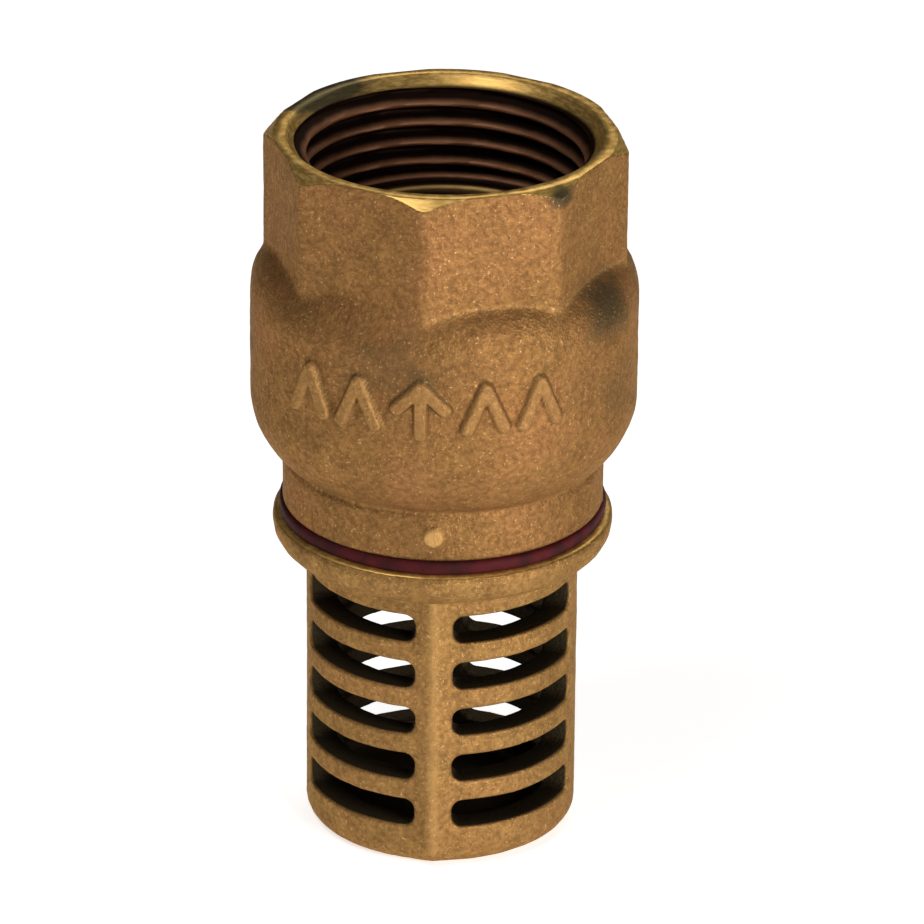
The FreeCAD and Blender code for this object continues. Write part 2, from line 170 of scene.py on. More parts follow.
def collar_pip(bearing, z):
    """Height of the small round pip cast on the collar."""
    across = COLLAR_RADIUS * (bearing_from_front(bearing) - PIP_BEARING)
    from_pip = np.hypot(across, z - collar_foot - PIP_RISE)
    return PIP_HEIGHT * (1 - smooth_step(PIP_FLAT, PIP_FOOT, from_pip))


def tarnish_and_shade_spots(bearing, z):
    """How much the casting darkens in given spots, most on the right of the shoulder and round the rim. The
    spot on the right of the shoulder and the broad one across the upper front of the chamber are painted
    shade; the others are tarnish.
    """
    spots = np.zeros_like(bearing)
    for degrees, height, width, tall, strength in (
        # painted shade: the dark patch where the right of the shoulder turns up
        (66, 0.0660, 0.0050, 0.0048, 0.85),
        # painted shade: a broad darkening across the upper front of the chamber
        (-8, 0.0625, 0.0080, 0.0055, 0.52),
        (46, 0.0806, 0.0022, 0.0012, 1.0),
        (-124, 0.0818, 0.0062, 0.0014, 1.4),
        (70, 0.0560, 0.0050, 0.0060, 0.45),
        (-78, 0.0600, 0.0060, 0.0070, 0.45),
        (178, 0.0600, 0.0080, 0.0060, 0.5),
        (-38, 0.0445, 0.0040, 0.0022, 0.40),
        (215, 0.0460, 0.0040, 0.0025, 0.5),
    ):
        around = COLLAR_RADIUS * bearing_from_front(bearing - math.radians(degrees))
        reach = (around / width) ** 2 + ((z - height) / tall) ** 2
        spots = np.maximum(spots, strength * np.exp(-reach))
    return spots


def body_outside(bearing, z):
    """The casting's outer radius, before the lathe takes the corners off at the rim."""
    shape = smooth_max(chamber_radius(z), np.full_like(bearing, COLLAR_RADIUS), CAST_FILLET)
    crease = np.exp(-(((z - collar_foot - CREASE_RISE) / CREASE_WIDTH) ** 2))
    shape = shape - CREASE_DEPTH * crease
    grip = octagon_radius(bearing) - 0.004 * (1 - smooth_step(CHAMBER_HIGH, CHAMBER_HIGH + 0.002, z))
    shape = smooth_max(shape, grip, CAST_FILLET)
    seam = np.exp(-(((np.abs(bearing_from_front(bearing)) - math.pi / 2) * CHAMBER_RADIUS / SEAM_WIDTH) ** 2))
    return shape + SEAM_HEIGHT * seam + raised_marks(bearing, z) + collar_pip(bearing, z)


def lathe_rows(outline):
    """Subdivide an outline of (radius, height, step) corners into rows no further apart than step."""
    rows = [outline[0][:2]]
    for (r0, z0, _), (r1, z1, step) in zip(outline[:-1], outline[1:]):
        count = max(1, round(math.hypot(r1 - r0, z1 - z0) / step))
        rows += [(r0 + (r1 - r0) * k / count, z0 + (z1 - z0) * k / count) for k in range(1, count + 1)]
    return rows


def ring_mesh(name, radius, height, bearings, closed, values=None):
    """A mesh of rings, one for each row. It closes on itself, or on a point where a radius is nought."""
    rows, columns = radius.shape
    x = radius * np.sin(bearings)
    y = -radius * np.cos(bearings)
    points = np.stack([x, y, height], axis=2).reshape(-1, 3)
    index = np.arange(rows * columns).reshape(rows, columns)
    last = rows if closed else rows - 1
    faces = []
    for row in range(last):
        a, b = index[row], index[(row + 1) % rows]
        faces += np.stack([a, np.roll(a, -1), np.roll(b, -1), b], axis=1).tolist()
    mesh = bpy.data.meshes.new(name)
    mesh.from_pydata(points.tolist(), [], faces)
    for label, value in (values or {}).items():
        mesh.attributes.new(label, "FLOAT", "POINT").data.foreach_set("value", value.ravel())
    return mesh


def tidy_mesh(mesh, merge=1e-7):
    """Close the seams and poles and turn every face outwards."""
    shape = bmesh.new()
    shape.from_mesh(mesh)
    bmesh.ops.remove_doubles(shape, verts=shape.verts, dist=merge)
    bmesh.ops.dissolve_degenerate(shape, dist=merge, edges=shape.edges)
    bmesh.ops.recalc_face_normals(shape, faces=shape.faces)
    shape.to_mesh(mesh)
    shape.free()


def new_piece(name, mesh, material, body, slot, *nodes, sharp=40):
    """Show a finished mesh as a piece of the valve, in place of the CAD nodes named."""
    piece = bpy.data.objects.new(name, mesh)
    bpy.context.scene.collection.objects.link(piece)
    if material:
        mesh.materials.clear()
        mesh.materials.append(material)
    mesh.shade_smooth()
    mesh.set_sharp_from_angle(angle=math.radians(sharp))
    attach(piece, body)
    if nodes:
        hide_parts(*nodes)
    return piece


def make_tree(name, sockets):
    """A geometry node tree with named inputs and one geometry output."""
    tree = bpy.data.node_groups.new(name, "GeometryNodeTree")
    tree.interface.new_socket("Geometry", in_out="INPUT", socket_type="NodeSocketGeometry")
    tree.interface.new_socket("Geometry", in_out="OUTPUT", socket_type="NodeSocketGeometry")
    for label, (kind, value) in sockets.items():
        socket = tree.interface.new_socket(label, in_out="INPUT", socket_type="NodeSocket" + kind)
        if value is not None:
            socket.default_value = value
    return tree, tree.nodes.new("NodeGroupInput"), tree.nodes.new("NodeGroupOutput")


def node(tree, kind, *inputs, **settings):
    """Add a node, set its properties, and fill its inputs in order with sockets or values."""
    made = tree.nodes.new(kind)
    for key, value in settings.items():
        setattr(made, key, value)
    for socket, value in zip([s for s in made.inputs if s.enabled], inputs):
        if isinstance(value, bpy.types.NodeSocket):
            tree.links.new(value, socket)
        elif value is not None:
            socket.default_value = value
    return made


def maths(tree, operation, *inputs):
    return node(tree, "ShaderNodeMath", *inputs, operation=operation).outputs[0]


def bake_tree(mesh, tree, **inputs):
    """Run a geometry node tree on a mesh and return the plain mesh that comes out."""
    holder = bpy.data.objects.new("bench", mesh)
    bpy.context.scene.collection.objects.link(holder)
    modifier = holder.modifiers.new("tree", "NODES")
    modifier.node_group = tree
    for socket in tree.interface.items_tree:
        label = socket.name.replace(" ", "_").lower()
        if socket.in_out == "INPUT" and label in inputs:
            modifier[socket.identifier] = inputs[label]
    graph = bpy.context.evaluated_depsgraph_get()
    baked = bpy.data.meshes.new_from_object(holder.evaluated_get(graph), depsgraph=graph)
    holder.modifiers.remove(modifier)
    bpy.data.objects.remove(holder)
    return baked


def thread_tree():
    """Cuts a screw thread into a plain bore: a rounded V that winds down from the mouth's cone."""
    tree, given, result = make_tree("cut_thread", {
        "Crest Radius": ("Float", THREAD_CREST),
        "Root Radius": ("Float", THREAD_ROOT),
        "Pitch": ("Float", THREAD_PITCH),
        "Top": ("Float", 0.0),
        "Material": ("Material", None),
    })
    place = node(tree, "ShaderNodeSeparateXYZ", node(tree, "GeometryNodeInputPosition").outputs[0])
    x, y, z = place.outputs
    x_squared, y_squared = maths(tree, "MULTIPLY", x, x), maths(tree, "MULTIPLY", y, y)
    radius = maths(tree, "SQRT", maths(tree, "ADD", x_squared, y_squared))
    turn = maths(tree, "DIVIDE", maths(tree, "ARCTAN2", y, x), 2 * math.pi)
    climb = maths(tree, "DIVIDE", maths(tree, "SUBTRACT", given.outputs["Top"], z), given.outputs["Pitch"])
    phase = maths(tree, "FRACT", maths(tree, "ADD", maths(tree, "ADD", climb, turn), 8.0))
    ridge = maths(tree, "ABSOLUTE", maths(tree, "SUBTRACT", maths(tree, "MULTIPLY", phase, 2.0), 1.0))
    rounded = node(tree, "ShaderNodeMapRange", ridge, 0.12, 0.88, 0.0, 1.0, interpolation_type="LINEAR")
    depth = maths(tree, "SUBTRACT", given.outputs["Root Radius"], given.outputs["Crest Radius"])
    cut_depth = maths(tree, "MULTIPLY", depth, rounded.outputs[0])
    cut = maths(tree, "ADD", given.outputs["Crest Radius"], cut_depth)
    weight = node(tree, "GeometryNodeInputNamedAttribute", "threaded", data_type="FLOAT").outputs[0]
    deeper = maths(tree, "MAXIMUM", cut, radius)
    outward = maths(tree, "MULTIPLY", maths(tree, "SUBTRACT", deeper, radius), weight)
    target = maths(tree, "ADD", radius, outward)
    scale = maths(tree, "DIVIDE", target, maths(tree, "MAXIMUM", radius, 1e-6))
    moved_x, moved_y = maths(tree, "MULTIPLY", x, scale), maths(tree, "MULTIPLY", y, scale)
    moved = node(tree, "ShaderNodeCombineXYZ", moved_x, moved_y, z)
    placed = node(tree, "GeometryNodeSetPosition", given.outputs["Geometry"], None, moved.outputs[0])
    real = node(tree, "GeometryNodeRealizeInstances", placed.outputs[0])
    painted = node(tree, "GeometryNodeSetMaterial", real.outputs[0], None, given.outputs["Material"])
    tree.links.new(painted.outputs[0], result.inputs[0])
    return tree


def cast_skin_tree():
    """Moves cast faces in and out a little, as sand leaves them: broad lumps and a finer unevenness."""
    tree, given, result = make_tree("cast_skin", {
        "Lump Size": ("Float", 0.004),
        "Lump Depth": ("Float", 0.00010),
        "Pit Size": ("Float", 0.0011),
        "Pit Depth": ("Float", 0.00005),
        "Seed": ("Float", 1.0),
        "Material": ("Material", None),
    })
    place = node(tree, "GeometryNodeInputPosition").outputs[0]
    push = None
    for size, depth in (("Lump Size", "Lump Depth"), ("Pit Size", "Pit Depth")):
        noise = node(tree, "ShaderNodeTexNoise", noise_dimensions="4D")
        tree.links.new(place, noise.inputs["Vector"])
        tree.links.new(given.outputs["Seed"], noise.inputs["W"])
        tree.links.new(maths(tree, "DIVIDE", 1.0, given.outputs[size]), noise.inputs["Scale"])
        noise.inputs["Detail"].default_value = 2.0
        centred = maths(tree, "SUBTRACT", noise.outputs[0], 0.5)
        part = maths(tree, "MULTIPLY", centred, maths(tree, "MULTIPLY", given.outputs[depth], 2.0))
        push = part if push is None else maths(tree, "ADD", push, part)
    weight = node(tree, "GeometryNodeInputNamedAttribute", "cast", data_type="FLOAT").outputs[0]
    normal = node(tree, "GeometryNodeInputNormal").outputs[0]
    shift = node(tree, "ShaderNodeVectorMath", normal, operation="SCALE")
    tree.links.new(maths(tree, "MULTIPLY", push, weight), shift.inputs["Scale"])
    placed = node(tree, "GeometryNodeSetPosition", given.outputs["Geometry"], None, None, shift.outputs[0])
    real = node(tree, "GeometryNodeRealizeInstances", placed.outputs[0])
    painted = node(tree, "GeometryNodeSetMaterial", real.outputs[0], None, given.outputs["Material"])
    tree.links.new(painted.outputs[0], result.inputs[0])
    return tree


def colour_mix(tree, factor, first, second, blend="MIX"):
    """Mix two colours, each a socket or an (r, g, b), and return the result's socket."""
    mix = tree.nodes.new("ShaderNodeMix")
    mix.data_type = "RGBA"
    mix.blend_type = blend
    for socket, value in zip((mix.inputs[0], mix.inputs[6], mix.inputs[7]), (factor, first, second)):
        if isinstance(value, bpy.types.NodeSocket):
            tree.links.new(value, socket)
        else:
            socket.default_value = (*value, 1) if isinstance(value, tuple) else value
    return mix.outputs[2]


def ramp(tree, value, low, high):
    """A soft step from 0 at low to 1 at high."""
    step = node(tree, "ShaderNodeMapRange", value, low, high, 0.0, 1.0, interpolation_type="SMOOTHSTEP")
    return step.outputs[0]


def noise_at(tree, size, detail=3.0, rough=0.55, stretch=(1, 1, 1)):
    """Noise with features of about that size, on the piece's own coordinates."""
    place = tree.nodes.new("ShaderNodeTexCoord").outputs["Object"]
    mapped = node(tree, "ShaderNodeMapping", place)
    mapped.inputs["Scale"].default_value = stretch
    noise = tree.nodes.new("ShaderNodeTexNoise")
    tree.links.new(mapped.outputs[0], noise.inputs["Vector"])
    noise.inputs["Scale"].default_value = 1 / size
    noise.inputs["Detail"].default_value = detail
    noise.inputs["Roughness"].default_value = rough
    return noise.outputs[0]


def new_material(name):
    material = bpy.data.materials.new(name)
    material.use_nodes = True
    tree = material.node_tree
    return material, tree, tree.nodes["Principled BSDF"]


def cast_bronze(name, dark, light, blush, bore_shade, bore_light):
    """Sand-cast bronze: matt and finely grained, with turned faces where "machined" is 1.

    Tarnish and painted shade darken it where "tarnish_and_shade" is high. Raised edges are rubbed bright, and
    painted highlights lie, where "wear_and_highlight" is high. The bore or the slots darken where "inside" is
    1:
    the bore to a brown that passes into painted shade in the thread roots and the chamber, the slots to
    painted shade.
    """
    material, tree, surface = new_material(name)
    amount = {label: node(tree, "ShaderNodeAttribute", attribute_name=label).outputs["Fac"]
              for label in ("machined", "wear_and_highlight", "inside", "tarnish_and_shade")}
    broad = noise_at(tree, 0.011, 2.0)
    medium = noise_at(tree, 0.0030, 3.0, 0.6)
    grain = noise_at(tree, 0.00060, 3.0, 0.65)
    fine = noise_at(tree, 0.00030, 2.0, 0.6)
    cast = colour_mix(tree, ramp(tree, medium, 0.30, 0.72), dark, light)
    cast = colour_mix(tree, maths(tree, "MULTIPLY", ramp(tree, broad, 0.40, 0.75), 0.7), cast, blush)
    speck = colour_mix(tree, ramp(tree, grain, 0.28, 0.74), (0.76, 0.74, 0.72), (1.20, 1.18, 1.15))
    cast = colour_mix(tree, 1.0, cast, speck, "MULTIPLY")
    edge_noise = maths(tree, "MULTIPLY", maths(tree, "SUBTRACT", medium, 0.5), 0.9)
    # Darkening: tarnish, plus painted shade on the shoulder, round the raised marks, below the thread and in
    # the cage.
    stain_and_shade = ramp(tree, maths(tree, "ADD", amount["tarnish_and_shade"], edge_noise), 0.22, 0.85)
    faint = maths(tree, "MULTIPLY", ramp(tree, noise_at(tree, 0.0095, 4.0, 0.65), 0.54, 0.72), 0.14)
    stain_and_shade = maths(tree, "MULTIPLY", maths(tree, "MAXIMUM", stain_and_shade, faint), 0.88)
    cast = colour_mix(tree, stain_and_shade, cast, (0.082, 0.060, 0.030))
    # Lightening: rubbed bronze, plus painted highlights on the facets' feet, the marks' edges and the
    # throat's lead.
    rubbed_and_highlit = maths(tree, "MINIMUM", maths(tree, "MULTIPLY", amount["wear_and_highlight"], 0.62), 0.95)
    cast = colour_mix(tree, rubbed_and_highlit, cast, (0.62, 0.36, 0.125))
    # Painted glints: small bright specks put into the base colour.
    painted_glint = maths(tree, "MULTIPLY", ramp(tree, fine, 0.65, 0.73), 0.60)
    cast = colour_mix(tree, painted_glint, cast, (0.85, 0.55, 0.28))
    lines = noise_at(tree, 0.0011, 3.0, 0.6, (1, 1, 6))
    place = tree.nodes.new("ShaderNodeTexCoord").outputs["Object"]
    x, y, _ = node(tree, "ShaderNodeSeparateXYZ", place).outputs
    x_squared, y_squared = maths(tree, "MULTIPLY", x, x), maths(tree, "MULTIPLY", y, y)
    out = maths(tree, "SQRT", maths(tree, "ADD", x_squared, y_squared))
    turned = colour_mix(tree, ramp(tree, lines, 0.35, 0.7), (0.62, 0.36, 0.095), (0.92, 0.60, 0.19))
    turned = colour_mix(tree, stain_and_shade, turned, (0.060, 0.065, 0.042))
    uneven = maths(tree, "MULTIPLY", maths(tree, "SUBTRACT", medium, 0.5), 0.0005)
    # Painted shade: past the thread crests the inside passes into the near-black shade colour, in the roots
    # and the chamber.
    depth_shade = ramp(tree, maths(tree, "ADD", out, uneven), 0.0151, 0.0160)
    shade = colour_mix(tree, depth_shade, bore_light, bore_shade)
    # Painted shade on the ledge and throat below the thread, and towards the strainer's cage floor.
    shade = colour_mix(tree, amount["tarnish_and_shade"], shade, bore_shade)
    # Painted highlight: the bright ring on the throat's lead.
    shade = colour_mix(tree, amount["wear_and_highlight"], shade, (0.74, 0.46, 0.16))
    broken = maths(tree, "ADD", amount["machined"], maths(tree, "MULTIPLY", grain, 0.30))
    edge = ramp(tree, broken, 0.55, 0.72)
    colour = colour_mix(tree, edge, cast, turned)
    tree.links.new(colour_mix(tree, amount["inside"], colour, shade), surface.inputs["Base Color"])
    rough_cast = node(tree, "ShaderNodeMapRange", grain, 0.3, 0.7, 0.66, 0.50).outputs[0]
    rough_turned = node(tree, "ShaderNodeMapRange", lines, 0.3, 0.7, 0.32, 0.46).outputs[0]
    rough_bore = maths(tree, "ADD", rough_turned, maths(tree, "MULTIPLY", amount["inside"], 0.22))
    rough = node(tree, "ShaderNodeMix", edge, rough_cast, rough_bore).outputs[0]
    tree.links.new(rough, surface.inputs["Roughness"])
    surface.inputs["Metallic"].default_value = 0.80
    surface.inputs["Specular IOR Level"].default_value = 0.40
    surface.inputs["Specular Tint"].default_value = (0.52, 0.46, 0.38, 1)
    sand = maths(tree, "ADD", maths(tree, "MULTIPLY", grain, 0.60), maths(tree, "MULTIPLY", fine, 0.40))
    tooling = maths(tree, "MULTIPLY", noise_at(tree, 0.00030, 2.0, 0.5, (0.15, 0.15, 1)), 0.15)
    height = node(tree, "ShaderNodeMix", edge, sand, tooling).outputs[0]
    bump = node(tree, "ShaderNodeBump")
    bump.inputs["Strength"].default_value = 1.0
    bump.inputs["Distance"].default_value = 0.00018
    tree.links.new(height, bump.inputs["Height"])
    tree.links.new(bump.outputs[0], surface.inputs["Normal"])
    return material


# The last two colours are the bore's: near black, painted shade for the thread roots, chamber and throat, and
# the crests' brown.
body_bronze = cast_bronze("cast_bronze_body", (0.270, 0.137, 0.046), (0.350, 0.183, 0.060),
                          (0.365, 0.174, 0.065), (0.018, 0.008, 0.005), (0.34, 0.155, 0.080))
FINE_STEP, FRONT_SPAN = math.radians(0.5), math.radians(51)
front_bearings = np.arange(-FRONT_SPAN, FRONT_SPAN, FINE_STEP)
corner_steps = np.concatenate([np.arange(-3.0, 3.1, 1.2), np.arange(5.4, 42.0, 2.4)])
back_bearings = np.concatenate([np.radians(corner + corner_steps) for corner in range(45, 315, 45)])
behind_front = (back_bearings > FRONT_SPAN) & (back_bearings < 2 * math.pi - FRONT_SPAN - 0.02)
back_bearings = back_bearings[behind_front]
body_bearings = np.concatenate([front_bearings, back_bearings])

cast_levels = np.array([z for _, z in lathe_rows([
    (0, collar_foot + 0.0003, 1),
    (0, collar_foot + 0.0050, 0.00027),
    (0, collar_foot + 0.0080, 0.00021),
    (0, CHAMBER_LOW + 0.0020, 0.00040),
    (0, CHAMBER_LOW + 0.0100, 0.00018),
    (0, CHAMBER_HIGH + 0.0028, 0.00040),
    (0, CHAMBER_HIGH + 0.0075, 0.00020),
    (0, rim_top - 0.0030, 0.00070),
    (0, rim_top - 0.0001, 0.00014),
])])
bearing_grid, level_grid = np.meshgrid(body_bearings, cast_levels)
cast_radius = body_outside(bearing_grid, level_grid)
rim_cone = RIM_FACE_RADIUS + (rim_top - level_grid) * RIM_CHAMFER_SLOPE
outer_radius = np.minimum(cast_radius, rim_cone)
outer_machined = smooth_step(-0.00004, 0.00006, cast_radius - rim_cone)
foot_rounds = [(cast_radius[0] - inset, np.full_like(body_bearings, collar_foot + up))
               for inset, up in ((0.0003, 0.0), (0.0001, 0.0001))]
rim_edge = outer_radius[-1]
mouth_foot = rim_top - MOUTH_DEPTH
turned_rows = lathe_rows([
    (MOUTH_RADIUS, rim_top, 1),
    (THREAD_CREST, mouth_foot, 0.00020),
    (THREAD_CREST, THREAD_END, 0.00019),
    (THREAD_CREST - 0.0002, THREAD_END - 0.0002, 1),
    (THROAT_RADIUS + THROAT_LEAD_WIDTH + 0.00015, THREAD_END - 0.0002, 0.0005),
    (THROAT_RADIUS + THROAT_LEAD_WIDTH, THREAD_END - 0.0004, 1),
    (THROAT_RADIUS + THROAT_LEAD_WIDTH - 0.00015, THREAD_END - 0.00064, 1),
    (THROAT_RADIUS, THREAD_END - THROAT_LEAD_DEPTH, 0.0005),
    (THROAT_RADIUS, GUIDE_STOP, 0.0012),
    (POCKET_RADIUS, GUIDE_STOP, 1),
    (POCKET_RADIUS, GUIDE_STOP - 0.0030, 0.0010),
    (CHAMBER_INSIDE, CHAMBER_HIGH - 0.0034, 0.0009),
    (CHAMBER_INSIDE, CHAMBER_LOW + 0.0009, 0.0018),
    (COLLAR_BORE, collar_foot + 0.00975, 0.0009),
    (COLLAR_BORE, collar_foot + 0.0003, 0.0024),
    (COLLAR_BORE + 0.0003, collar_foot, 1),
])
ones = np.ones_like(body_bearings)
radius_rows = [row for row, _ in foot_rounds] + list(outer_radius)
height_rows = [row for _, row in foot_rounds] + list(level_grid)
machined_rows = [ones, ones * 0] + list(outer_machined)
for share in (0.0, 0.5, 1.0):
    edge = rim_edge - 0.00012
    radius_rows.append(edge + (MOUTH_RADIUS + 0.00006 - edge) * share)
    height_rows.append(ones * rim_top)
    machined_rows.append(ones)
cast_count = 2 + len(cast_levels)
for radius, height in turned_rows:
    radius_rows.append(ones * radius)
    height_rows.append(ones * (height - (0.00005 if height == rim_top else 0)))
    machined_rows.append(ones)
radii, heights, machined = (np.array(rows) for rows in (radius_rows, height_rows, machined_rows))
row_number = np.arange(len(radii))[:, None] * ones
is_turned = (row_number >= cast_count + 3).astype(float)
chamber_cast = is_turned * (heights < GUIDE_STOP - 0.0031) * (heights > collar_foot + 0.0101)
machined = machined * (1 - chamber_cast)
threaded = is_turned * smooth_step(THREAD_END - 0.0001, THREAD_END + 0.0012, heights)
cast_part = (1 - machined) * (row_number > 2)
inside = is_turned * (1 - smooth_step(rim_top - 0.0012, rim_top - 0.0008, heights))
relief, facet_foot_highlight, pip = (np.zeros_like(radii) for _ in range(3))
relief[2:cast_count] = raised_marks(bearing_grid, level_grid) / MARK_HEIGHT
pip[2:cast_count] = collar_pip(bearing_grid, level_grid) / PIP_HEIGHT
# Painted highlight along the feet of the octagon's flats, on the right and back-right, the side towards the
# key light.
above_shoulder = octagon_radius(bearing_grid) - chamber_radius(level_grid)
facet_foot_highlight[2:cast_count] = (
    np.exp(-((above_shoulder - 0.00025) / 0.00045) ** 2) * (level_grid > CHAMBER_HIGH))
bearing_rows = row_number * 0 + bearing_from_front(body_bearings)
facet_foot_highlight *= smooth_step(math.radians(-20), math.radians(10), bearing_rows)
# Raised marks lighter, most at their edges: partly rubbed bronze, partly painted highlight.
mark_rub_and_highlight = relief * (0.35 + 2.9 * relief * (1 - relief))
# Painted shade round the foot of the raised marks.
mark_foot_shade = 3.8 * relief * (1 - relief) * (1 - relief)
# Painted shade on the ledge and throat below the thread, with a painted highlight ring on the throat's lead.
below_thread = is_turned * (heights < THREAD_END + 0.0001) * (heights > GUIDE_STOP)
throat_edge_highlight = below_thread * np.exp(-(((radii - THROAT_RADIUS - THROAT_LEAD_WIDTH) / 0.00010) ** 2))
body_mesh = ring_mesh("valve_casting", radii, heights, body_bearings, True, {
    "machined": machined,
    "threaded": threaded,
    "cast": cast_part * (1 - 0.6 * relief),
    "inside": inside,
    # Lightening: rubbed marks and pip, with painted highlights on the marks' edges, the facets' feet and the
    # throat's lead.
    "wear_and_highlight": mark_rub_and_highlight + 0.35 * facet_foot_highlight + 1.5 * pip + throat_edge_highlight,
    # Darkening: tarnish spots, with painted shade on the shoulder, round the marks' foot and below the
    # thread.
    "tarnish_and_shade": (tarnish_and_shade_spots(row_number * 0 + body_bearings, heights) * (1 - relief)
                  + mark_foot_shade + below_thread),
})
tidy_mesh(body_mesh)
body_mesh = bake_tree(body_mesh, thread_tree(), top=rim_top, material=body_bronze)
cast_skin = cast_skin_tree()
body_mesh = bake_tree(body_mesh, cast_skin, seed=3.0, material=body_bronze)
new_piece("valve_casting", body_mesh, None, "housing", "cast_body", "valve_body", sharp=50)

# ---------------------------------------------------------------------------------------------
# Strainer. A second, more golden casting: a basket with five rows of slots between four ribs, a
# round flange, and a spigot that screws into the body and carries the seat. The front and back
# ribs meet in a low ridge where the two halves of its mould met.
# ---------------------------------------------------------------------------------------------
_, strainer_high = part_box("strainer")
STRAINER_TURN = math.radians(3.4)
CAGE_RADIUS = 0.01505
CAGE_INSIDE = 0.0119
CAGE_FLOOR = 0.0030
CAGE_EDGE = 0.00195
SLOT_HEIGHT = 0.0032
SLOT_PITCH = 0.005655
SLOT_ROWS = 5
FIRST_SLOT = 0.00638
SLOT_START, SLOT_END = math.radians(8), math.radians(74)
SLOT_CORNER = 0.0013
FLANGE_ROUND, CAGE_FILLET = 0.0031, 0.0003
SLOT_EDGE_ROUND = 0.00036
KEEL_HALF_WIDTH = 0.00215
KEEL_HEIGHT = 0.00082
FLANGE_LOW, FLANGE_HIGH = 0.03305, 0.0372
FLANGE_RADIUS = 0.01885
SPIGOT_RADIUS = 0.01455
SPIGOT_TOP = 0.0459
SEAT_TOP = strainer_high.z
SEAT_OUTSIDE, SEAT_BORE = 0.0120, 0.0105


def keel(bearing):
    """Height of the ridge along the middle of the front rib, with a rounded top."""
    across = CAGE_RADIUS * bearing / KEEL_HALF_WIDTH
    return KEEL_HEIGHT * np.maximum(0, 1 - np.sqrt(across**2 + 0.008) + 0.05)


def slot_outline(border, half_pitch):
    """The slot's edge, as one point for each point on the cell's border, and the way out of the slot there.

    The slot is a rectangle with rounded corners. Each of the cell's sides closes in on one side of
    the slot and on half of the corner at each end of it.
    """
    half, corner = SLOT_HEIGHT / 2, SLOT_CORNER
    left, right = SLOT_START * CAGE_RADIUS, SLOT_END * CAGE_RADIUS
    wall, eighth = half - corner, corner * math.pi / 4
    points, ways = [], []
    for s, z, on_end in border:
        if on_end:
            along = z / half_pitch * (wall + eighth)
            past_wall = max(0.0, abs(along) - wall) / corner
            way = (math.cos(past_wall) * (-1 if s < right / 2 else 1), math.copysign(math.sin(past_wall), z))
            middle = min(max(along, -wall), wall)
        else:
            quarter_round = math.pi / 2 * CAGE_RADIUS
            lead = min(s / (left + corner), (quarter_round - s) / (quarter_round - right + corner))
            lean = math.pi / 4 * max(0.0, 1 - lead)
            way = (math.sin(lean) * (-1 if s < right / 2 else 1), math.copysign(math.cos(lean), z))
            middle = math.copysign(wall, z)
        centre = min(max(s, left + corner), right - corner)
        points.append((centre + corner * way[0], middle + corner * way[1]))
        ways.append(way)
    return np.array(points), np.array(ways)


def slot_cell():
    """One slot and the wall round it, from the middle of the front rib to the middle of the side rib.

    Rings of points run round the slot. The first lie on the cell's border outside the cage, the next
    close in on the slot's outer edge, turn through the wall, and open out again on the inside.
    """
    quarter, half_pitch = math.pi / 2, SLOT_PITCH / 2
    ease = np.linspace(0, 1, 45)
    across = quarter * (0.35 * ease + 0.65 * ease**1.6)
    up = np.linspace(-half_pitch, half_pitch, 13)
    border = [(b * CAGE_RADIUS, up[0], False) for b in across[1:-1]]
    border += [(quarter * CAGE_RADIUS, z, True) for z in up]
    border += [(b * CAGE_RADIUS, up[-1], False) for b in across[-2:0:-1]]
    border += [(0.0, z, True) for z in up[::-1]]
    edge, outward = slot_outline(border, half_pitch)
    border = np.array([point[:2] for point in border])
    wall = CAGE_RADIUS - CAGE_INSIDE
    flare = edge + outward * SLOT_EDGE_ROUND
    rings = [(border + (flare - border) * share, 0.0) for share in (0.0, 0.22, 0.44, 0.64, 0.82, 1.0)]
    turns = [math.radians(degrees) for degrees in (30, 60, 90)]
    rounded = [(flare - outward * SLOT_EDGE_ROUND * math.sin(a), SLOT_EDGE_ROUND * (1 - math.cos(a)))
               for a in turns]
    rings += rounded + [(edge, wall / 2)]
    rings += [(points, wall - depth) for points, depth in reversed(rounded)]
    rings += [(border + (flare - border) * share, wall) for share in (1.0, 0.7, 0.35, 0.0)]
    radius, height, bearings = [], [], []
    for points, depth in rings:
        bearing = points[:, 0] / CAGE_RADIUS
        radius.append(CAGE_RADIUS + keel(bearing) * (1 - depth / wall) - depth)
        height.append(FIRST_SLOT + points[:, 1])
        bearings.append(bearing)
    return ring_mesh("slot_cell", np.array(radius), np.array(height), np.array(bearings), False), across


def cage_tree():
    """Repeats the slot cell up the basket and round its four quarters."""
    tree, given, result = make_tree("slotted_cage", {
        "Rows": ("Int", SLOT_ROWS),
        "Row Pitch": ("Float", SLOT_PITCH),
        "Material": ("Material", None),
    })
    step = node(tree, "ShaderNodeCombineXYZ", 0.0, 0.0, given.outputs["Row Pitch"]).outputs[0]
    line = node(tree, "GeometryNodeMeshLine", mode="OFFSET")
    tree.links.new(given.outputs["Rows"], line.inputs["Count"])
    tree.links.new(step, line.inputs["Offset"])
    column = node(tree, "GeometryNodeInstanceOnPoints")
    tree.links.new(line.outputs[0], column.inputs["Points"])
    tree.links.new(given.outputs["Geometry"], column.inputs["Instance"])
    join = tree.nodes.new("GeometryNodeJoinGeometry")
    for half_turn in (0.0, math.pi):
        for mirror in (1.0, -1.0):
            placed = tree.nodes.new("GeometryNodeTransform")
            tree.links.new(column.outputs[0], placed.inputs["Geometry"])
            placed.inputs["Rotation"].default_value = (0, 0, half_turn)
            placed.inputs["Scale"].default_value = (mirror, 1, 1)
            tree.links.new(placed.outputs[0], join.inputs[0])
    real = node(tree, "GeometryNodeRealizeInstances", join.outputs[0])
    painted = node(tree, "GeometryNodeSetMaterial", real.outputs[0], None, given.outputs["Material"])
    tree.links.new(painted.outputs[0], result.inputs[0])
    return tree


